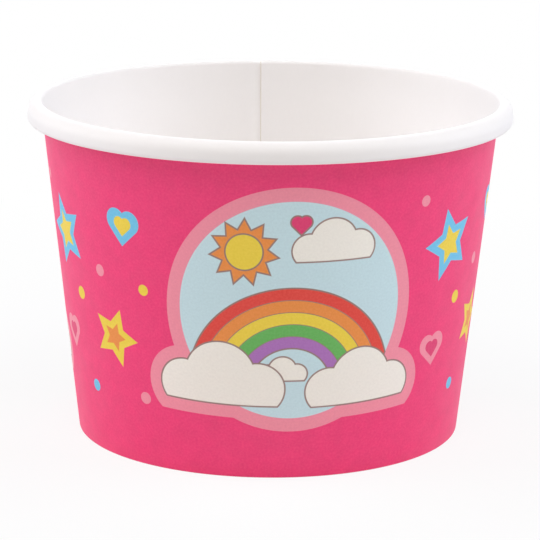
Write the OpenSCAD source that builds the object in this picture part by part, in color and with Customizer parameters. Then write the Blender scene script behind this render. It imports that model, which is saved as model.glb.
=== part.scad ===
// Paper dessert cup. One printed sheet is wrapped into a tapered wall and lapped
// at the back. Its top edge is rolled outwards into a rim, and its bottom edge is
// folded in and up around the skirt of a recessed base disc.
// Millimetres, +Z up, origin in the middle of the ring that the cup stands on,
// front of the cup towards -Y.

/* [Cup] */
// Outside radius of the rolled rim
rim_r = 48; // [45:0.5:52]
// Outside radius of the wall, carried down to the table
base_r = 38.2; // [34:0.1:41]
// Height from the table to the top of the rim
cup_h = 66.5; // [45:0.5:110]

/* [Paper] */
// Thickness of the coated board
paper_t = 0.35; // [0.25:0.05:0.45]

/* [Rolled rim] */
// Width of the roll, from the wall's inner face to the outside of the rim
roll_w = 3.1; // [2.8:0.1:4]
// Height of the roll
roll_h = 4; // [3.6:0.1:6]
// Clearance between the roll's underside and the wall
roll_gap = 0.1; // [0.05:0.05:0.3]
// How much smaller the turn inside the roll is than the roll itself
tuck_step = 0.3; // [0.2:0.05:0.5]
// How far round the turn inside the roll goes before the sheet ends
tuck_turn = 120; // [60:5:150]

/* [Base] */
// Height of the base disc's underside above the table
recess_h = 6; // [4:0.5:12]
// Outside radius of the bend between the base disc and its skirt
bend_r = 0.8; // [0.6:0.1:1.5]
// Clearance between the lower edge of the skirt and the fold
skirt_gap = 0.15; // [0.05:0.05:0.5]
// How far the folded edge stops short of the base disc
flap_gap = 0.7; // [0.3:0.1:1.5]
// Radius of the outside corners of the fold
fold_r = 0.35; // [0.2:0.05:0.45]

/* [Seam] */
// Width of the lap at the table
lap_w = 7; // [4:0.5:12]
// Direction of the inner edge of the lap, anticlockwise from +X
seam_at = 92.8; // [0:0.2:359.8]
// Width of the slope over which the sheet climbs onto its own edge
climb_w = 2.4; // [1.2:0.2:4]
// Number of steps that the slope is made of
climb_steps = 3; // [2:1:6]

/* [Hidden] */
$fn = 180;
deg = 180 / PI;

wall_color = "hotpink";
disc_color = "white";

// Centre of the roll's top bend
top_r = roll_w / 2;
top_c = [rim_r - top_r, cup_h - top_r];

// Taper of the wall, for an inner face that runs tangent into the top bend
run = top_c[0] - base_r;
rise = top_c[1];
taper = acos((top_r - paper_t) / norm([run, rise])) - atan2(rise, run);

// Centre and radius of the roll's lower bend, which comes back to the wall
low_z = cup_h - roll_h;
low_r = micron((rim_r - base_r - low_z * tan(taper) - roll_gap) / (2 + tan(taper)));
low_c = [rim_r - low_r, low_z + low_r];

// Turn inside the roll
tuck_r = low_r - tuck_step;
tuck_c = [low_c[0] - low_r + tuck_r, low_c[1]];

// Folded edge and skirt
flap_h = recess_h - flap_gap;
skirt_z = paper_t + skirt_gap;
disc_top = recess_h + paper_t;

// Angles of the lap and of the slope beside it
lap_a = lap_w / base_r * deg;
climb_a = climb_w / base_r * deg;
step_a = climb_a / climb_steps;

// Small angles by which neighbouring sectors and neighbouring bends run into each other
join_a = 0.2;
bend_join = 0.05;

// Every separate solid of the cup, and the one to draw

// Size to the nearest thousandth of a millimetre, so that neighbouring edges agree
function micron(x) = round(1000 * x) / 1000;

// Point at height z, n outwards from the wall's outer face, measured square to it
function at(z, n) = [base_r + z * tan(taper) + n / cos(taper), z];

// Point on a circle about c
function on(c, r, a) = c + r * [cos(a), sin(a)];

// Bent strip of sheet about c, from angle a to angle b, at most 180 degrees apart
module bend(c, r, a, b) {
    turn = (b - a) / 4;
    ends = [a - bend_join, a + turn, a + 2 * turn, a + 3 * turn, b + bend_join];
    intersection() {
        difference() {
            translate(c) circle(r);
            translate(c) circle(r - paper_t);
        }
        polygon([c, for (e = ends) on(c, 3 * r, e)]);
    }
}

// Folded bottom edge for a sheet that lies o outside the cup's own surface
module fold(o) {
    face = -3 * paper_t - o;
    out_c = at(fold_r, o - fold_r);
    in_c = at(fold_r, face + fold_r);
    difference() {
        union() {
            polygon([[in_c[0], 0], [out_c[0], 0], on(out_c, fold_r, -taper), at(flap_h, o),
                at(flap_h, face), on(in_c, fold_r, 180 - taper)]);
            translate(out_c) circle(fold_r);
            translate(in_c) circle(fold_r);
        }
        polygon([at(paper_t, o - paper_t), at(2 * flap_h, o - paper_t),
            at(2 * flap_h, -2 * paper_t - o), at(paper_t, -2 * paper_t - o)]);
    }
}

// Wall from the fold to the roll
module wall(o) {
    polygon([at(flap_h, o - paper_t), at(flap_h, o), on(top_c, top_r - o - paper_t, 180 - taper),
        on(top_c, top_r - o, 180 - taper)]);
}

// Rolled rim, without the turn inside it
module roll(o) {
    bend(top_c, top_r - o, 0, 180 - taper);
    translate([rim_r - o - paper_t, low_c[1]]) square([paper_t, top_c[1] - low_c[1]]);
    bend(low_c, low_r - o, -180, 0);
}

// Section of the sheet, o outside the cup's own surface
module sheet(o) {
    fold(o);
    wall(o);
    roll(o);
}

// Section turned from angle a to angle b
module sector(a, b) {
    rotate([0, 0, a]) rotate_extrude(angle = b - a) children();
}

// Section of the sheet with the turn inside the roll
module own_sheet() {
    sheet(0);
    bend(tuck_c, tuck_r, 180 - tuck_turn, 180);
}

// Printed sheet: its own layer all round, the layer lapped over its edge, and the
// slope that climbs onto that edge
module side_wall() {
    color(wall_color) {
        sector(seam_at + climb_a - join_a, seam_at + 360) own_sheet();
        sector(seam_at - lap_a, seam_at - join_a / 2) {
            sheet(paper_t / 2);
            sheet(paper_t);
        }
        for (k = [1:climb_steps])
            sector(seam_at + (k - 1) * step_a - join_a, seam_at + k * step_a)
                sheet(micron(paper_t * (1 - (k - 0.5) / climb_steps)));
    }
}

// Base disc with its skirt turned down inside the fold
module base_disc() {
    bend_c = [at(disc_top - bend_r, -paper_t - bend_r)[0], disc_top - bend_r];
    color(disc_color) rotate_extrude() {
        polygon([[0, recess_h], [bend_c[0], recess_h], [bend_c[0], disc_top], [0, disc_top]]);
        bend(bend_c, bend_r, -taper, 90);
        polygon([at(skirt_z, -2 * paper_t), at(skirt_z, -paper_t), on(bend_c, bend_r, -taper),
            on(bend_c, bend_r - paper_t, -taper)]);
    }
}

side_wall();
base_disc();
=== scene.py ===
# Paper dessert cup: the printed sheet with its rolled rim, lapped seam and folded
# foot, the base disc that the fold holds, and plain studio light around them.
import math

import bmesh
import bpy
from mathutils import Matrix, Vector


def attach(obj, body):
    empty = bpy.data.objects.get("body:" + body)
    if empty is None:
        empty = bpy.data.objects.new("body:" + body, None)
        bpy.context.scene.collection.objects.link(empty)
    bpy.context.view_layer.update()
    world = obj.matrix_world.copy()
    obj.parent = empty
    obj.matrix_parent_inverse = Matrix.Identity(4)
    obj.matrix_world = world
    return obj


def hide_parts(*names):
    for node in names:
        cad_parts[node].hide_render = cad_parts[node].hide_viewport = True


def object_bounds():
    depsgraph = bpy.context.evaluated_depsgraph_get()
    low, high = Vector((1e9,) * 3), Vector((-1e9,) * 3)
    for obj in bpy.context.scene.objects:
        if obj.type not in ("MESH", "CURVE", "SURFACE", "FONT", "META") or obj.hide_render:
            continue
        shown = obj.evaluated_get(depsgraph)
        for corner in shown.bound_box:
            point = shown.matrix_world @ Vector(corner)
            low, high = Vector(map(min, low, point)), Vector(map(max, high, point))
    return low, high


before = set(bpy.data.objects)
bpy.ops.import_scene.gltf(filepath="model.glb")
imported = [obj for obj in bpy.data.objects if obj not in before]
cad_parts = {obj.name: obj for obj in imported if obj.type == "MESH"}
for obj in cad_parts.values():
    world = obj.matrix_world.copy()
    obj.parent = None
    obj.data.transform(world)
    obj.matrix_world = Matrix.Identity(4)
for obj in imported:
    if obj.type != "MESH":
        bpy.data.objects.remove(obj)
cad_box = [list(corner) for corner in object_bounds()]

MM = 0.001
DEG = math.pi / 180

# Sizes of the cup
CUP_H = cad_box[1][2]
RIM_R = 48 * MM
BASE_R = 38.2 * MM
PAPER = 0.35 * MM

# Rolled rim
ROLL_W = 3.1 * MM
ROLL_H = 4.05 * MM
ROLL_GAP = 0.1 * MM
CREST_R = 0.8 * MM
SHOULDER_R = 2.35 * MM
HEEL_R = 0.8 * MM
TOE_R = 0.8 * MM
TUCK_STEP = 0.3 * MM
TUCK_TURN = 120 * DEG

# Base disc, its skirt and the folded edge
RECESS_H = 6 * MM
BEND_R = 0.8 * MM
SKIRT_GAP = 0.15 * MM
FLAP_GAP = 0.7 * MM
CREASE_R = 0.06 * MM

# Seam: direction of the sheet's inner edge, width of the lap, of the climb onto it and of
# the slope on which the tucked fold settles
SEAM_AT = 92.8 * DEG
LAP_A = 7 * MM / BASE_R
CLIMB_A = 2.4 * MM / BASE_R
SETTLE_A = LAP_A / 2
PLY_GAP = 0.02 * MM
TUCKED_LIFT = 0.5 * PAPER
PRESSED = 0.5 * PAPER

# Fineness of the modelled sheet and disc
TURN_STEPS = 176
LAP_STEPS = 6
CLIMB_STEPS = 6
WALL_STEPS = 26
BEND_STEPS = 12
TIGHT_STEPS = 8
CREASE_STEPS = 3
SKIRT_STEPS = 4
DISC_STEPS = 120
PLATE_STEPS = 16
SMOOTH_ANGLE = 40 * DEG

# Turns and places closer than this are one
SAME_A = 0.01 * DEG
SAME_D = 0.01 * MM

# Materials of a piece in order: its white face, the face behind it and its cut edge
WHITE_FACE, BACK_FACE, CUT_EDGE = range(3)

# Taper that lets the wall's white face run into an even bend under the rim
TOP_R = ROLL_W / 2
TOP_C = (RIM_R - TOP_R, CUP_H - TOP_R)
RUN = TOP_C[0] - BASE_R
RISE = TOP_C[1]
TAPER = math.acos((TOP_R - PAPER) / math.hypot(RUN, RISE)) - math.atan2(RISE, RUN)

# Roll over the rim: a tight crest on the wall, a wide shoulder, a tight heel at the
# lower corner and the toe that meets the wall again
CREST_Z = CUP_H - CREST_R
CREST_C = (BASE_R + CREST_Z * math.tan(TAPER) + (CREST_R - PAPER) / math.cos(TAPER), CREST_Z)
SHOULDER_AT = math.acos((CREST_C[0] - RIM_R + SHOULDER_R) / (SHOULDER_R - CREST_R))
SHOULDER_C = (RIM_R - SHOULDER_R, CREST_Z - (SHOULDER_R - CREST_R) * math.sin(SHOULDER_AT))
LOW_Z = CUP_H - ROLL_H
HEEL_C = (RIM_R - HEEL_R, LOW_Z + HEEL_R)
TOE_C = (BASE_R + (LOW_Z + TOE_R) * math.tan(TAPER) + ROLL_GAP + TOE_R, LOW_Z + TOE_R)

# Turn of the sheet's end inside the roll
LOW_R = (RIM_R - BASE_R - LOW_Z * math.tan(TAPER) - ROLL_GAP) / (2 + math.tan(TAPER))
LOW_C = (RIM_R - LOW_R, LOW_Z + LOW_R)
TUCK_R = LOW_R - TUCK_STEP
TUCK_C = (LOW_C[0] - LOW_R + TUCK_R, LOW_C[1])

# Flat blank that the sheet was cut from: distance of the foot from the blank's centre,
# the sheet's turn at the front of the cup and its whole turn, and how far up from the
# foot the square map parts the wall from the roll
BLANK_R = BASE_R / math.sin(TAPER)
FRONT_TURN = SEAM_AT + math.pi / 2
SHEET_TURN = 2 * math.pi + LAP_A
WALL_L = TOP_C[1] / math.cos(TAPER)

# Places of the sheet's parts on the square map that holds its baked colours:
# left, low, right and high
FRONT_BOX = (0.006, 0.006, 0.846, 0.43)
BACK_BOX = (0.006, 0.444, 0.846, 0.868)
WHITE_BOX = (0.006, 0.882, 0.994, 0.994)
ROLL_BOX = (0.86, 0.006, 0.93, 0.868)
EDGE_BOXES = {
    "flap": (0.942, 0.006, 0.949, 0.868),
    "tuck": (0.957, 0.006, 0.964, 0.868),
    "inner": (0.972, 0.006, 0.979, 0.868),
    "outer": (0.987, 0.006, 0.994, 0.868),
}
BOX_GAP = 3 * DEG

# Camera, from the fit to the photograph's edges, its scale and roll trimmed on the render
FRAME_PX = 540
FOCAL_PX = 2713
CAMERA_FAR = 544.6 * MM
CAMERA_UP = 13.48 * DEG
CAMERA_ROLL = 0.5 * DEG
AXIS_PX = (269.19, 260.95)
SENSOR = 36

# Layout of the print, in millimetres on the flat blank: pictures round the cup, direction
# of the front one from the front, height of its middle, and how far the lap's print is off
PICTURES = 3
PICTURE_AT = 6 * DEG
PICTURE_UP = 32
LAP_SLIP = 0.7
INK_SOFT = 0.12
LINE_W = 0.3
HEM_PRINT = 2.2
BORDER_W = 2.7
SKY_DISC = (0, 1.5, 21.5)
RAINBOW_AT = (0, -13.5)
RAINBOW_R = 19.6
BAND_W = 2.4
SUN_AT = (-9.2, 13)
SUN_R = 3.4
RAYS_R = 6.3
RAY_NOTCH = 0.68
RAYS = 11
SKY_HEART = (1.4, 18.2, 1.9)

# Clouds: the puffs of one of full size and its base, then where each cloud stands and its size
PUFFS = ((-6.2, 0.2, 4.3), (0, 2.4, 6), (6.4, 0.4, 4.5))
PUFF_FLOOR = -2.6
LEFT_CLOUD = (-13.4, -14.6, 1.12)
RIGHT_CLOUD = (13.8, -15.2, 1.0)
HIGH_CLOUD = (7.6, 13.2, 0.74)
FAR_CLOUD = (-1.6, -11.2, 0.42)

# Finish of the print: the share of pale fibres that show through the ink and the grain
# they start from, and the ribs on the folded edge: spacing over 2 pi, distance of the
# highest below the foot, and height against the grain's
FLECKS = 0.07
FLECK_FROM = 0.4
RIB_STEP = 1.6
RIB_TOP = 0.9
RIB_H = 3

# Board: how much its varnish and its coat reflect, size of its fibres, and the depth of
# their relief on the smooth faces, on the plain one and on the cut edge
VARNISH_LEVEL = 0.65
COAT_LEVEL = 0.2
PRINT_FIBRE = 0.45 * MM
COAT_FIBRE = 0.55 * MM
PLAIN_FIBRE = 0.45 * MM
CUT_FIBRE = 0.12 * MM
SMOOTH_RELIEF = 0.012 * MM
PLAIN_RELIEF = 0.02 * MM
CUT_RELIEF = 0.04 * MM


def linear(channel):
    """Linear value of an sRGB channel from 0 to 255."""
    c = channel / 255
    return c / 12.92 if c <= 0.04045 else ((c + 0.055) / 1.055) ** 2.4


def ink(red, green, blue):
    """A colour for a shader, from sRGB channels."""
    return (linear(red), linear(green), linear(blue), 1)


PINK = ink(250, 45, 119)
PALE_PINK = ink(253, 148, 168)
SKY = ink(206, 234, 240)
WHITE_INK = ink(253, 249, 238)
OUTLINE = ink(150, 120, 112)
RED = ink(234, 60, 46)
ORANGE = ink(244, 146, 56)
YELLOW = ink(248, 218, 58)
GREEN = ink(98, 184, 84)
BLUE = ink(110, 202, 240)
PURPLE = ink(176, 112, 190)
MAGENTA = ink(232, 44, 112)
RAINBOW = (RED, ORANGE, YELLOW, GREEN, PURPLE)
HEM_WHITE = ink(238, 232, 222)
COAT_TINTS = (ink(253, 250, 248), ink(251, 248, 246))
PLAIN_TINTS = (ink(240, 234, 222), ink(232, 225, 211))
CUT_TINTS = (ink(244, 238, 226), ink(224, 214, 196))

# Small figures beside a picture: place and size, a star's lean, colour and how far a star's
# ink spreads
STAR_NOTCH = 0.5
STAR_POINTS = 5
STARS = (
    (35.5, 9.5, 6.4, 0.2, BLUE, 0.5),
    (35.5, 9.5, 4.1, 0.2, YELLOW, 0),
    (-37, -9, 5.2, -0.25, YELLOW, 0.4),
    (-37, -9, 3, -0.25, ORANGE, 0),
)
HEARTS = (
    (31.5, -11.5, 3.6, PALE_PINK),
    (31.5, -11.2, 1.9, MAGENTA),
    (-34.5, 13.5, 4, BLUE),
    (-34.5, 13.9, 2.1, YELLOW),
)
DOTS = (
    (39, -2.5, 1.3, YELLOW),
    (27.5, 20, 1.1, PALE_PINK),
    (39.5, -21, 1.2, BLUE),
    (-29, -19.5, 1.2, PALE_PINK),
    (-29.5, 2.5, 1.1, YELLOW),
    (-41, 3.5, 1.2, PALE_PINK),
)

# Studio, in metres and watts: the white surroundings, then each lamp's name, place, width,
# power and tint
WORLD_LEVEL = 0.03
FLOOR_W = 4
FLOOR_WHITE = ink(238, 238, 238)
FLOOR_LIFT = 0.86
FLOOR_CLEAR = 0.07
FLOOR_FADE = 0.15
COOL_WHITE = (0.93, 0.94, 1)
SKY_WHITE = (0.87, 0.91, 1)
WARM_WHITE = (1, 0.94, 0.87)
LAMPS = (
    ("left_box", (-0.71, 0.03, 0.56), 0.75, 5.6, COOL_WHITE),
    ("right_box", (0.72, 0, 0.55), 0.75, 5.5, SKY_WHITE),
    ("front_box", (0, -0.85, 0.45), 0.6, 0.6, WARM_WHITE),
    ("top_box", (0, -0.5, 0.85), 0.6, 3.4, WARM_WHITE),
    ("back_box", (0, 0.8, 0.45), 0.6, 1.5, SKY_WHITE),
)


def wall_at(z, n):
    """Point of the section at height z, n outwards from the wall's printed face."""
    return (BASE_R + z * math.tan(TAPER) + n / math.cos(TAPER), z)


def arc(centre, radius, start, end, steps):
    """Points of a bend in the section, from angle start to angle end."""
    angles = [start + (end - start) * k / steps for k in range(steps + 1)]
    return [(centre[0] + radius * math.cos(a), centre[1] + radius * math.sin(a)) for a in angles]


def sheet_section():
    """The sheet's white face from the folded edge to the end inside the roll."""
    flap_c = (wall_at(PAPER + CREASE_R, CREASE_R - 2 * PAPER)[0], PAPER + CREASE_R)
    wall_c = (wall_at(PAPER + CREASE_R, -CREASE_R - PAPER)[0], PAPER + CREASE_R)
    flap_top = RECESS_H - FLAP_GAP
    drop = flap_top - flap_c[1]
    line = [wall_at(flap_top - drop * k / SKIRT_STEPS, -2 * PAPER) for k in range(SKIRT_STEPS)]
    line += arc(flap_c, CREASE_R, math.pi - TAPER, 1.5 * math.pi, CREASE_STEPS)
    line += arc(wall_c, CREASE_R, -0.5 * math.pi, -TAPER, CREASE_STEPS)
    wall_top = CREST_Z + CREST_R * math.sin(TAPER)
    low = wall_c[1]
    line += [wall_at(low + (wall_top - low) * k / WALL_STEPS, -PAPER) for k in range(1, WALL_STEPS)]
    line += arc(CREST_C, CREST_R, math.pi - TAPER, SHOULDER_AT, TIGHT_STEPS)
    line += arc(SHOULDER_C, SHOULDER_R, SHOULDER_AT, 0, BEND_STEPS)[1:]
    line += arc(HEEL_C, HEEL_R, 0, -math.pi / 2, TIGHT_STEPS)
    line += arc(TOE_C, TOE_R, -math.pi / 2, -math.pi, TIGHT_STEPS)
    line += arc(TUCK_C, TUCK_R, math.pi, math.pi - TUCK_TURN, TIGHT_STEPS)
    return line


def disc_section():
    """The base disc's white face from its middle to the lower edge of its skirt."""
    top = RECESS_H + PAPER
    bend_c = (wall_at(top - BEND_R, -PAPER - BEND_R)[0], top - BEND_R)
    line = [(bend_c[0] * k / PLATE_STEPS, top) for k in range(PLATE_STEPS)]
    line += arc(bend_c, BEND_R, 0.5 * math.pi, -TAPER, TIGHT_STEPS)
    low = PAPER + SKIRT_GAP
    drop = bend_c[1] - low
    line += [wall_at(bend_c[1] - drop * k / SKIRT_STEPS, -PAPER) for k in range(1, SKIRT_STEPS + 1)]
    return line


def edit(piece):
    """Opens the piece for editing, with nothing else selected."""
    if bpy.context.object and bpy.context.object.mode != "OBJECT":
        bpy.ops.object.mode_set(mode="OBJECT")
    bpy.ops.object.select_all(action="DESELECT")
    piece.select_set(True)
    bpy.context.view_layer.objects.active = piece
    bpy.ops.object.mode_set(mode="EDIT")
    return bmesh.from_edit_mesh(piece.data)


def draw_line(name, points, turn):
    """A chain of edges through the points of a section, drawn in the plane at angle turn."""
    across = Vector((math.cos(turn), math.sin(turn), 0))
    places = [across * r + Vector((0, 0, z)) for r, z in points]
    bpy.ops.object.select_all(action="DESELECT")
    bpy.ops.mesh.primitive_plane_add(size=MM, location=places[0])
    piece = bpy.context.object
    piece.name = name
    bpy.ops.object.transform_apply(location=True, rotation=True, scale=True)
    edit(piece)
    bpy.ops.mesh.select_all(action="SELECT")
    bpy.ops.mesh.merge(type="CENTER")
    for here, there in zip(places, places[1:]):
        bpy.ops.mesh.extrude_region_move(TRANSFORM_OT_translate={"value": there - here})
    return piece


def measure_along(piece, points):
    """Notes on each vertex how far along the section it lies, from the foot upwards."""
    lengths = [0.0]
    for a, b in zip(points, points[1:]):
        lengths.append(lengths[-1] + math.dist(a, b))
    foot = min(range(len(points)), key=lambda k: (round(points[k][1] / MM, 3), -points[k][0]))
    grid = bmesh.from_edit_mesh(piece.data)
    along = grid.verts.layers.float.new("along")
    for v in grid.verts:
        place = (math.hypot(v.co.x, v.co.y), v.co.z)
        k = min(range(len(points)), key=lambda i: math.dist(points[i], place))
        v[along] = lengths[k] - lengths[foot]
    bmesh.update_edit_mesh(piece.data)


def sweep(steps, angle):
    """Sweeps the selected chain clockwise round the cup's axis."""
    bpy.ops.mesh.spin(steps=steps, angle=angle, center=(0, 0, 0), axis=(0, 0, 1))


def turn_of(place):
    """How far round the sheet a place on its first turn lies, clockwise from its inner edge."""
    turn = (SEAM_AT - math.atan2(place.y, place.x)) % (2 * math.pi)
    return 0.0 if turn > 2 * math.pi - SAME_A else turn


def ease(x):
    """Smooth step from 0 to 1."""
    x = min(max(x, 0.0), 1.0)
    return x * x * (3 - 2 * x)


def lift_tucked_foot(piece):
    """Raises the fold a little where the sheet's own lap will pass under it."""
    grid = bmesh.from_edit_mesh(piece.data)
    columns = sorted({round(turn_of(v.co) / DEG, 3) for v in grid.verts})
    for column in columns:
        share = 1 - ease((column * DEG - LAP_A) / SETTLE_A)
        if share <= 0:
            continue
        bpy.ops.mesh.select_all(action="DESELECT")
        for v in grid.verts:
            v.select = v.co.z < 2 * PAPER and abs(turn_of(v.co) - column * DEG) < SAME_A
        grid.select_flush_mode()
        bpy.ops.transform.translate(value=(0, 0, share * TUCKED_LIFT))


def press_foot(piece):
    """Flattens the fold of the selected column onto the table."""
    grid = bmesh.from_edit_mesh(piece.data)
    column = [v for v in grid.verts if v.select]
    for v in column:
        v.select = v.co.z < PAPER + CREASE_R / 4
    grid.select_flush_mode()
    bpy.ops.transform.resize(value=(1, 1, 0), center_override=(0, 0, PAPER))
    for v in column:
        v.select = True
    grid.select_flush_mode()


def note_turn(piece, turn):
    """Notes on each selected vertex how far round the sheet it lies."""
    grid = bmesh.from_edit_mesh(piece.data)
    layer = grid.verts.layers.float["turn"]
    for v in grid.verts:
        if v.select:
            v[layer] = turn


def face_white_side_in(piece):
    """Turns the faces of a swept wall so that they point to the cup's inside."""
    grid = bmesh.from_edit_mesh(piece.data)
    grid.normal_update()
    wall = max(grid.faces, key=lambda f: f.calc_area())
    if wall.normal.dot(wall.calc_center_median()) > 0:
        bpy.ops.mesh.select_all(action="SELECT")
        bpy.ops.mesh.flip_normals()


def add_thickness(piece, plies):
    """Gives the sheet its thickness behind the white face: plies are its two faces and its edge."""
    bpy.ops.object.mode_set(mode="OBJECT")
    for material in plies:
        piece.data.materials.append(material)
    solid = piece.modifiers.new("board", "SOLIDIFY")
    solid.thickness = PAPER
    solid.offset = -1
    solid.use_even_offset = True
    solid.material_offset = BACK_FACE
    solid.material_offset_rim = CUT_EDGE
    bpy.ops.object.modifier_apply(modifier=solid.name)
    bpy.ops.object.shade_smooth_by_angle(angle=SMOOTH_ANGLE)


def wrap_sheet(points):
    """The white face of the sheet, wrapped round once and lapped over its own edge."""
    piece = draw_line("printed_sheet", points, SEAM_AT)
    measure_along(piece, points)
    bpy.ops.mesh.select_all(action="SELECT")
    sweep(TURN_STEPS, 2 * math.pi - CLIMB_A)
    face_white_side_in(piece)

    grid = bmesh.from_edit_mesh(piece.data)
    turns = grid.verts.layers.float.new("turn")
    for v in grid.verts:
        v[turns] = turn_of(v.co)
    turn = 2 * math.pi - CLIMB_A
    last = [v.index for v in grid.verts if v[turns] > turn - SAME_A]
    lift_tucked_foot(piece)
    bpy.ops.mesh.select_all(action="DESELECT")
    grid = bmesh.from_edit_mesh(piece.data)
    grid.verts.ensure_lookup_table()
    for k in last:
        grid.verts[k].select = True
    grid.select_flush_mode()

    risen = 0.0
    for k in range(CLIMB_STEPS):
        sweep(1, CLIMB_A / CLIMB_STEPS)
        height = ease((k + 1) / CLIMB_STEPS) * (PAPER + PLY_GAP)
        bpy.ops.transform.shrink_fatten(value=risen - height)
        risen = height
        press_foot(piece)
        turn += CLIMB_A / CLIMB_STEPS
        note_turn(piece, turn)
    for k in range(LAP_STEPS):
        sweep(1, LAP_A / LAP_STEPS)
        turn += LAP_A / LAP_STEPS
        note_turn(piece, turn)
    return piece


def press_inner_edge(piece, first_ply):
    """Thins the sheet's inner edge, as the heated jaws that close the seam do."""
    grid = edit(piece)
    turn = grid.verts.layers.float["turn"]
    bpy.ops.mesh.select_all(action="DESELECT")
    for v in grid.verts:
        v.select = v.index < first_ply and v[turn] < SAME_A
    grid.select_flush_mode()
    bpy.ops.transform.shrink_fatten(value=-PRESSED)
    bpy.ops.object.mode_set(mode="OBJECT")


def level_foot(piece):
    """Flattens whatever part of the fold the thickness pushed below the table."""
    grid = edit(piece)
    bpy.ops.mesh.select_all(action="DESELECT")
    for v in grid.verts:
        v.select = v.co.z < 0
    grid.select_flush_mode()
    bpy.ops.transform.resize(value=(1, 1, 0), center_override=(0, 0, 0))
    bpy.ops.object.mode_set(mode="OBJECT")


def share_out(box, across, up):
    """Point of a box on the square map, at shares of its width and height."""
    left, low, right, high = box
    return Vector((left + (right - left) * across, low + (high - low) * up))


def lay_out_flat(piece, first_ply, length):
    """Gives the sheet two maps: the flat blank in true size, and the square map for its colours."""
    grid = edit(piece)
    along = grid.verts.layers.float["along"]
    turn = grid.verts.layers.float["turn"]
    blank = grid.loops.layers.uv.new("Blank")
    square = grid.loops.layers.uv.new("OFBake")
    start, end = length
    quarter = SHEET_TURN / 4

    def corner_on_square(face, vertex):
        t, a, ply = vertex[turn], vertex[along], vertex.index >= first_ply
        middle = sum(v[turn] for v in face.verts) / len(face.verts)
        height = sum(v[along] for v in face.verts) / len(face.verts)
        round_share = t / SHEET_TURN
        if face.material_index == WHITE_FACE:
            return share_out(WHITE_BOX, round_share, (a - start) / (end - start))
        if face.material_index == CUT_EDGE:
            if abs(height - start) < PAPER:
                return share_out(EDGE_BOXES["flap"], ply, round_share)
            if abs(height - end) < PAPER:
                return share_out(EDGE_BOXES["tuck"], ply, round_share)
            side = "inner" if middle < quarter else "outer"
            return share_out(EDGE_BOXES[side], ply, (a - start) / (end - start))
        if height > WALL_L:
            return share_out(ROLL_BOX, (a - WALL_L) / (end - WALL_L), round_share)
        up = (a - start) / (WALL_L + PAPER - start)
        if quarter < middle < 3 * quarter:
            return share_out(FRONT_BOX, (3 * quarter - t) / (2 * quarter), up)
        if middle < quarter:
            t += SHEET_TURN + BOX_GAP
        return share_out(BACK_BOX, (5 * quarter + BOX_GAP - t) / (2 * quarter + BOX_GAP), up)

    for face in grid.faces:
        for loop in face.loops:
            swing = (FRONT_TURN - loop.vert[turn]) * math.sin(TAPER)
            far = BLANK_R + loop.vert[along]
            loop[blank].uv = (far * math.sin(swing), far * math.cos(swing))
            loop[square].uv = corner_on_square(face, loop.vert)
    bmesh.update_edit_mesh(piece.data)
    bpy.ops.object.mode_set(mode="OBJECT")


def make_sheet(plies):
    """The printed sheet with its thickness and maps."""
    points = sheet_section()
    piece = wrap_sheet(points)
    grid = bmesh.from_edit_mesh(piece.data)
    along = grid.verts.layers.float["along"]
    length = (min(v[along] for v in grid.verts), max(v[along] for v in grid.verts))
    first_ply = len(grid.verts)
    add_thickness(piece, plies)
    press_inner_edge(piece, first_ply)
    level_foot(piece)
    lay_out_flat(piece, first_ply, length)
    return piece


def make_disc(plies):
    """The base disc with its skirt, one round of board."""
    points = disc_section()
    piece = draw_line("base_round", points, SEAM_AT)
    bpy.ops.mesh.select_all(action="SELECT")
    sweep(DISC_STEPS, 2 * math.pi)
    bpy.ops.mesh.select_all(action="SELECT")
    bpy.ops.mesh.remove_doubles(threshold=SAME_D)
    bpy.ops.mesh.normals_make_consistent(inside=False)
    grid = bmesh.from_edit_mesh(piece.data)
    grid.normal_update()
    plate = next(f for f in grid.faces if f.calc_center_median().xy.length < BASE_R / 2)
    if plate.normal.z < 0:
        bpy.ops.mesh.flip_normals()
    add_thickness(piece, plies)
    return piece


class Amount:
    """A number that a material works out at each point, with the usual arithmetic."""

    def __init__(self, tree, socket):
        self.tree = tree
        self.socket = socket

    def work(self, operation, *others, clamp=False):
        node = self.tree.nodes.new("ShaderNodeMath")
        node.operation = operation
        node.use_clamp = clamp
        for socket, value in zip(node.inputs, (self, *others)):
            join(self.tree, value, socket)
        return Amount(self.tree, node.outputs[0])

    def __add__(self, other):
        return self.work("ADD", other)

    def __sub__(self, other):
        return self.work("SUBTRACT", other)

    def __mul__(self, other):
        return self.work("MULTIPLY", other)

    def __rsub__(self, other):
        return self.work("MULTIPLY_ADD", -1, other)

    def size(self):
        return self.work("ABSOLUTE")


class Place:
    """A place on the print, in millimetres: x to the right and y upwards."""

    def __init__(self, x, y):
        self.x = x
        self.y = y
        pair = x.tree.nodes.new("ShaderNodeCombineXYZ")
        join(x.tree, x, pair.inputs["X"])
        join(x.tree, y, pair.inputs["Y"])
        self.vector = pair.outputs[0]

    def from_point(self, x, y):
        return Place(self.x - x, self.y - y)

    def distance(self, x, y):
        node = self.x.tree.nodes.new("ShaderNodeVectorMath")
        node.operation = "DISTANCE"
        join(self.x.tree, self.vector, node.inputs[0])
        node.inputs[1].default_value = (x, y, 0)
        return Amount(self.x.tree, node.outputs["Value"])


def join(tree, value, socket):
    """Sets a socket to a number or colour, or links it to what another node works out."""
    if isinstance(value, Amount):
        value = value.socket
    if isinstance(value, bpy.types.NodeSocket):
        tree.links.new(value, socket)
    else:
        socket.default_value = value


# Shapes of the print: each is the distance inside its edge, in millimetres
def either(*shapes):
    whole = shapes[0]
    for shape in shapes[1:]:
        whole = whole.work("MAXIMUM", shape)
    return whole


def both(*shapes):
    common = shapes[0]
    for shape in shapes[1:]:
        common = common.work("MINIMUM", shape)
    return common


def disc(place, x, y, radius):
    return radius - place.distance(x, y)


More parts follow.
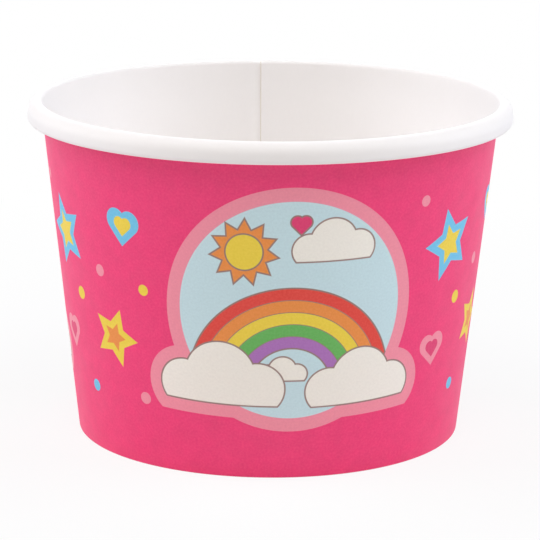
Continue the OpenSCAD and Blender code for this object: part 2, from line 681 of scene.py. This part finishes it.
def star(place, x, y, radius, notch, points, lean=0.0):
    """A star with its points on radius and its notches at that share of it."""
    spot = place.from_point(x, y)
    half = math.pi / points
    slope = math.atan2(1 - notch * math.cos(half), notch * math.sin(half))
    angle = spot.x.work("ARCTAN2", spot.y) + lean
    side = angle.work("WRAP", half, -half).size()
    reach = (side - slope).work("COSINE") * spot.distance(0, 0)
    return radius * math.cos(slope) - reach


def heart(place, x, y, size):
    """A heart whose lobes reach size to either side."""
    spot = place.from_point(x, y)
    d = size / (0.5 + math.sqrt(0.5))
    side = spot.x.size()
    point = (d - (side + spot.y.size())) * math.sqrt(0.5)
    return either(point, disc(Place(side, spot.y), d / 2, d / 2, d * math.sqrt(0.5)))


def cloud(place, x, y, size, turned=1):
    """A heap of three puffs on a straight base."""
    puffs = [disc(place, x + turned * size * px, y + size * py, size * r) for px, py, r in PUFFS]
    return both(either(*puffs), place.y - (y + size * PUFF_FLOOR))


def mix(tree, share, below, above):
    """Mixes two colours by a share from 0 to 1. The sockets between serve other data types."""
    node = tree.nodes.new("ShaderNodeMix")
    node.data_type = "RGBA"
    join(tree, share, node.inputs[0])
    join(tree, below, node.inputs[6])
    join(tree, above, node.inputs[7])
    return node.outputs[2]


def paint(below, shape, colour, grow=0.0):
    """Lays a colour over what is below where the shape, grown by some millimetres, covers it."""
    cover = shape.work("MULTIPLY_ADD", 1 / INK_SOFT, grow / INK_SOFT + 0.5, clamp=True)
    return mix(shape.tree, cover, below, colour)


def outlined(below, shape, colour, line=OUTLINE):
    """Paints a shape with a thin line round it."""
    return paint(paint(below, shape, line, LINE_W), shape, colour)


def noise(tree, place, size, detail=2.0):
    """Even cloudy noise from 0 to 1, with blotches of about the given size in metres."""
    node = tree.nodes.new("ShaderNodeTexNoise")
    tree.links.new(place, node.inputs["Vector"])
    node.inputs["Scale"].default_value = 1 / size
    node.inputs["Detail"].default_value = detail
    return Amount(tree, node.outputs["Fac"])


def start_material(name, roughness):
    """A material with an even roughness, which a pattern may take over."""
    material = bpy.data.materials.new(name)
    material.use_nodes = True
    tree = material.node_tree
    shader = tree.nodes["Principled BSDF"]
    shader.inputs["Roughness"].default_value = roughness
    return material, tree, shader


def body_place(tree):
    """Place on the piece, in metres."""
    return tree.nodes.new("ShaderNodeTexCoord").outputs["Object"]


def map_place(tree, name):
    """Place on one of the piece's own maps."""
    node = tree.nodes.new("ShaderNodeUVMap")
    node.uv_map = name
    return node.outputs["UV"]


def stretch(tree, place, factors):
    """Stretches a pattern along the axes."""
    node = tree.nodes.new("ShaderNodeMapping")
    tree.links.new(place, node.inputs["Vector"])
    node.inputs["Scale"].default_value = factors
    return node.outputs["Vector"]


def emboss(tree, shader, height, depth):
    """Raises the surface by a height from 0 to 1, depth in metres."""
    bump = tree.nodes.new("ShaderNodeBump")
    bump.inputs["Strength"].default_value = 1.0
    bump.inputs["Distance"].default_value = depth
    join(tree, height, bump.inputs["Height"])
    tree.links.new(bump.outputs["Normal"], shader.inputs["Normal"])


def roughen(tree, shader, amount, low, high):
    """Lets the roughness run from low to high with an amount from 0 to 1."""
    join(tree, amount.work("MULTIPLY_ADD", high - low, low), shader.inputs["Roughness"])


def vary(tree, colour, amount, depth):
    """Makes a colour a little lighter and darker with an amount from 0 to 1."""
    shade = amount.work("MULTIPLY_ADD", 2 * depth, 1 - depth)
    node = tree.nodes.new("ShaderNodeVectorMath")
    node.operation = "SCALE"
    join(tree, colour[:3] if isinstance(colour, tuple) else colour, node.inputs[0])
    join(tree, shade, node.inputs["Scale"])
    return node.outputs[0]


def picture(tree, place, below):
    """A rainbow that stands on clouds under a sunny sky, within a pale pink border."""
    left_cloud = cloud(place, *LEFT_CLOUD)
    right_cloud = cloud(place, *RIGHT_CLOUD, turned=-1)
    sky = disc(place, *SKY_DISC)
    whole = either(sky, left_cloud, right_cloud)
    drawn = paint(below, whole, PALE_PINK, BORDER_W)
    drawn = paint(drawn, whole, SKY)

    drawn = outlined(drawn, star(place, *SUN_AT, RAYS_R, RAY_NOTCH, RAYS), ORANGE)
    drawn = outlined(drawn, disc(place, *SUN_AT, SUN_R), YELLOW)
    drawn = outlined(drawn, cloud(place, *HIGH_CLOUD), WHITE_INK)
    drawn = outlined(drawn, cloud(place, *FAR_CLOUD), WHITE_INK)

    ring = RAINBOW_R - place.distance(*RAINBOW_AT)
    bow = both(ring, len(RAINBOW) * BAND_W - ring, place.y - RAINBOW_AT[1], whole)
    bands = tree.nodes.new("ShaderNodeValToRGB")
    bands.color_ramp.interpolation = "CONSTANT"
    for k, colour in enumerate(RAINBOW):
        stops = bands.color_ramp.elements
        stop = stops[k] if k < len(stops) else stops.new(1)
        stop.position = k / len(RAINBOW)
        stop.color = colour
    join(tree, ring * (1 / (len(RAINBOW) * BAND_W)), bands.inputs["Fac"])
    drawn = paint(drawn, bow, OUTLINE, LINE_W / 2)
    drawn = paint(drawn, bow, bands.outputs["Color"], -LINE_W / 2)
    between = (ring.work("PINGPONG", BAND_W / 2) - LINE_W / 4) * -1
    drawn = paint(drawn, both(between, bow), OUTLINE)

    drawn = outlined(drawn, left_cloud, WHITE_INK)
    drawn = outlined(drawn, right_cloud, WHITE_INK)
    drawn = outlined(drawn, heart(place, *SKY_HEART), MAGENTA)
    return drawn


def sprinkle(place, below):
    """Small stars, hearts and dots on the pink between two pictures."""
    drawn = below
    for x, y, radius, lean, colour, spread in STARS:
        drawn = paint(drawn, star(place, x, y, radius, STAR_NOTCH, STAR_POINTS, lean), colour, spread)
    for x, y, size, colour in HEARTS:
        drawn = paint(drawn, heart(place, x, y, size), colour)
    for x, y, radius, colour in DOTS:
        drawn = paint(drawn, disc(place, x, y, radius), colour)
    return drawn


def printed_board():
    """White board with its outside printed, and a satin varnish over the print."""
    material, tree, shader = start_material("printed_board", 0.53)
    shader.inputs["Specular IOR Level"].default_value = VARNISH_LEVEL
    blank = map_place(tree, "Blank")
    parts = tree.nodes.new("ShaderNodeSeparateXYZ")
    tree.links.new(blank, parts.inputs[0])
    x = Amount(tree, parts.outputs["X"]) * (1 / MM)
    y = Amount(tree, parts.outputs["Y"]) * (1 / MM)
    flat = Place(x, y)
    far = flat.distance(0, 0)
    swing = x.work("ARCTAN2", y)

    pitch = 2 * math.pi / PICTURES * math.sin(TAPER) + LAP_SLIP / PICTURES * MM / BLANK_R
    local = (swing - PICTURE_AT * math.sin(TAPER)).work("WRAP", pitch / 2, -pitch / 2)
    middle = BLANK_R / MM + PICTURE_UP
    place = Place(local.work("SINE") * far, local.work("COSINE") * far - middle)

    blotch = noise(tree, blank, 3 * MM, 4)
    drawn = vary(tree, PINK, blotch, 0.09)
    drawn = sprinkle(place, drawn)
    drawn = picture(tree, place, drawn)
    hem = (BLANK_R / MM - HEM_PRINT) - far
    drawn = paint(drawn, hem, HEM_WHITE)
    grain = noise(tree, blank, PRINT_FIBRE, 3)
    drawn = vary(tree, drawn, grain, 0.08)
    fleck = grain.work("MULTIPLY_ADD", FLECKS, -FLECKS * FLECK_FROM, clamp=True)
    drawn = mix(tree, fleck, drawn, WHITE_INK)
    join(tree, drawn, shader.inputs["Base Color"])

    roughen(tree, shader, noise(tree, blank, 5 * MM), 0.45, 0.61)
    folded = (far - (BLANK_R / MM - RIB_TOP)).work("LESS_THAN", 0)
    ribs = (swing * (BLANK_R / MM / RIB_STEP)).work("SINE") * folded
    emboss(tree, shader, grain + ribs * RIB_H, SMOOTH_RELIEF)
    return material


def coated_board():
    """White board with a thin coat of plastic that holds the dessert."""
    material, tree, shader = start_material("coated_board", 0.5)
    shader.inputs["Specular IOR Level"].default_value = COAT_LEVEL
    place = body_place(tree)
    fibre = noise(tree, stretch(tree, place, (1, 1, 0.4)), COAT_FIBRE, 3)
    cloudy = noise(tree, place, 9 * MM)
    colour = mix(tree, cloudy, *COAT_TINTS)
    join(tree, vary(tree, colour, fibre, 0.012), shader.inputs["Base Color"])
    roughen(tree, shader, cloudy, 0.43, 0.57)
    emboss(tree, shader, fibre, SMOOTH_RELIEF)
    return material


def plain_board():
    """Uncoated board, creamier and rougher than the coated side."""
    material, tree, shader = start_material("plain_board", 0.75)
    place = body_place(tree)
    fibre = noise(tree, place, PLAIN_FIBRE, 4)
    cloudy = noise(tree, place, 6 * MM)
    colour = mix(tree, cloudy, *PLAIN_TINTS)
    join(tree, vary(tree, colour, fibre, 0.04), shader.inputs["Base Color"])
    roughen(tree, shader, fibre, 0.65, 0.85)
    emboss(tree, shader, fibre, PLAIN_RELIEF)
    return material


def cut_board():
    """Cut edge of the board, where its fibres show."""
    material, tree, shader = start_material("cut_board", 0.9)
    place = body_place(tree)
    fibre = noise(tree, place, CUT_FIBRE, 3)
    colour = mix(tree, fibre, *CUT_TINTS)
    join(tree, colour, shader.inputs["Base Color"])
    roughen(tree, shader, fibre, 0.8, 0.95)
    emboss(tree, shader, fibre, CUT_RELIEF)
    return material


def make_camera():
    """The camera that took the photograph, as far as its edges tell."""
    data = bpy.data.cameras.new("photo_view")
    data.sensor_width = SENSOR
    data.lens = FOCAL_PX / FRAME_PX * SENSOR
    data.shift_x = (FRAME_PX / 2 - AXIS_PX[0]) / FRAME_PX
    data.shift_y = (AXIS_PX[1] - FRAME_PX / 2) / FRAME_PX
    data.clip_start = 10 * MM
    eye = bpy.data.objects.new("photo_view", data)
    bpy.context.collection.objects.link(eye)
    eye.location = (0, -CAMERA_FAR * math.cos(CAMERA_UP), CUP_H / 2 + CAMERA_FAR * math.sin(CAMERA_UP))
    aim = (Vector((0, 0, CUP_H / 2)) - eye.location).to_track_quat("-Z", "Y").to_matrix().to_4x4()
    eye.rotation_euler = (aim @ Matrix.Rotation(CAMERA_ROLL, 4, "Z")).to_euler()
    bpy.context.scene.camera = eye


def seen_directly(tree):
    """1 for rays from the camera, a mirror or glass, and 0 for light that falls on things."""
    path = tree.nodes.new("ShaderNodeLightPath")
    seen = Amount(tree, path.outputs["Is Camera Ray"])
    for kind in ("Is Glossy Ray", "Is Transmission Ray"):
        seen = seen.work("MAXIMUM", Amount(tree, path.outputs[kind]))
    return seen


def make_world():
    """Plain white to the eye, and an even grey light on the cup."""
    world = bpy.data.worlds.new("studio")
    bpy.context.scene.world = world
    world.use_nodes = True
    tree = world.node_tree
    light = tree.nodes["Background"]
    light.inputs["Color"].default_value = (1, 1, 1, 1)
    level = seen_directly(tree).work("MULTIPLY_ADD", 1 - WORLD_LEVEL, WORLD_LEVEL)
    join(tree, level, light.inputs["Strength"])


def make_floor():
    """Plain white floor that keeps the cup's shadow and fades into the background."""
    bpy.ops.object.select_all(action="DESELECT")
    bpy.ops.mesh.primitive_plane_add(size=FLOOR_W)
    floor = bpy.context.object
    floor.name = "floor"
    material, tree, shader = start_material("floor_white", 0.9)
    shader.inputs["Base Color"].default_value = FLOOR_WHITE
    shader.inputs["Specular IOR Level"].default_value = 0
    glow = tree.nodes.new("ShaderNodeEmission")
    far = Amount(tree, distance_from_middle(tree))
    fade = (far - FLOOR_CLEAR).work("MULTIPLY", 1 / FLOOR_FADE, clamp=True)
    lift = fade.work("MULTIPLY_ADD", 1 - FLOOR_LIFT, FLOOR_LIFT) * seen_directly(tree)
    blend = tree.nodes.new("ShaderNodeMixShader")
    join(tree, lift, blend.inputs["Fac"])
    tree.links.new(shader.outputs[0], blend.inputs[1])
    tree.links.new(glow.outputs[0], blend.inputs[2])
    tree.links.new(blend.outputs[0], tree.nodes["Material Output"].inputs["Surface"])
    floor.data.materials.append(material)


def distance_from_middle(tree):
    """Distance from the piece's own middle, in metres."""
    node = tree.nodes.new("ShaderNodeVectorMath")
    node.operation = "LENGTH"
    tree.links.new(body_place(tree), node.inputs[0])
    return node.outputs["Value"]


def softbox(name, place, width, power, tint):
    """A square soft light that faces the cup."""
    lamp = bpy.data.lights.new(name, "AREA")
    lamp.size = width
    lamp.energy = power
    lamp.color = tint
    box = bpy.data.objects.new(name, lamp)
    bpy.context.collection.objects.link(box)
    box.location = place
    box.rotation_euler = (Vector((0, 0, CUP_H / 2)) - box.location).to_track_quat("-Z", "Y").to_euler()


coated = coated_board()
plain = plain_board()
cut = cut_board()
sheet = make_sheet([coated, printed_board(), cut])
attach(sheet, "root")
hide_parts("side_wall")
base = make_disc([coated, plain, cut])
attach(base, "root")
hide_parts("base_disc")

bpy.context.scene.view_settings.view_transform = "Standard"
make_camera()
make_world()
make_floor()
for lamp in LAMPS:
    softbox(*lamp)
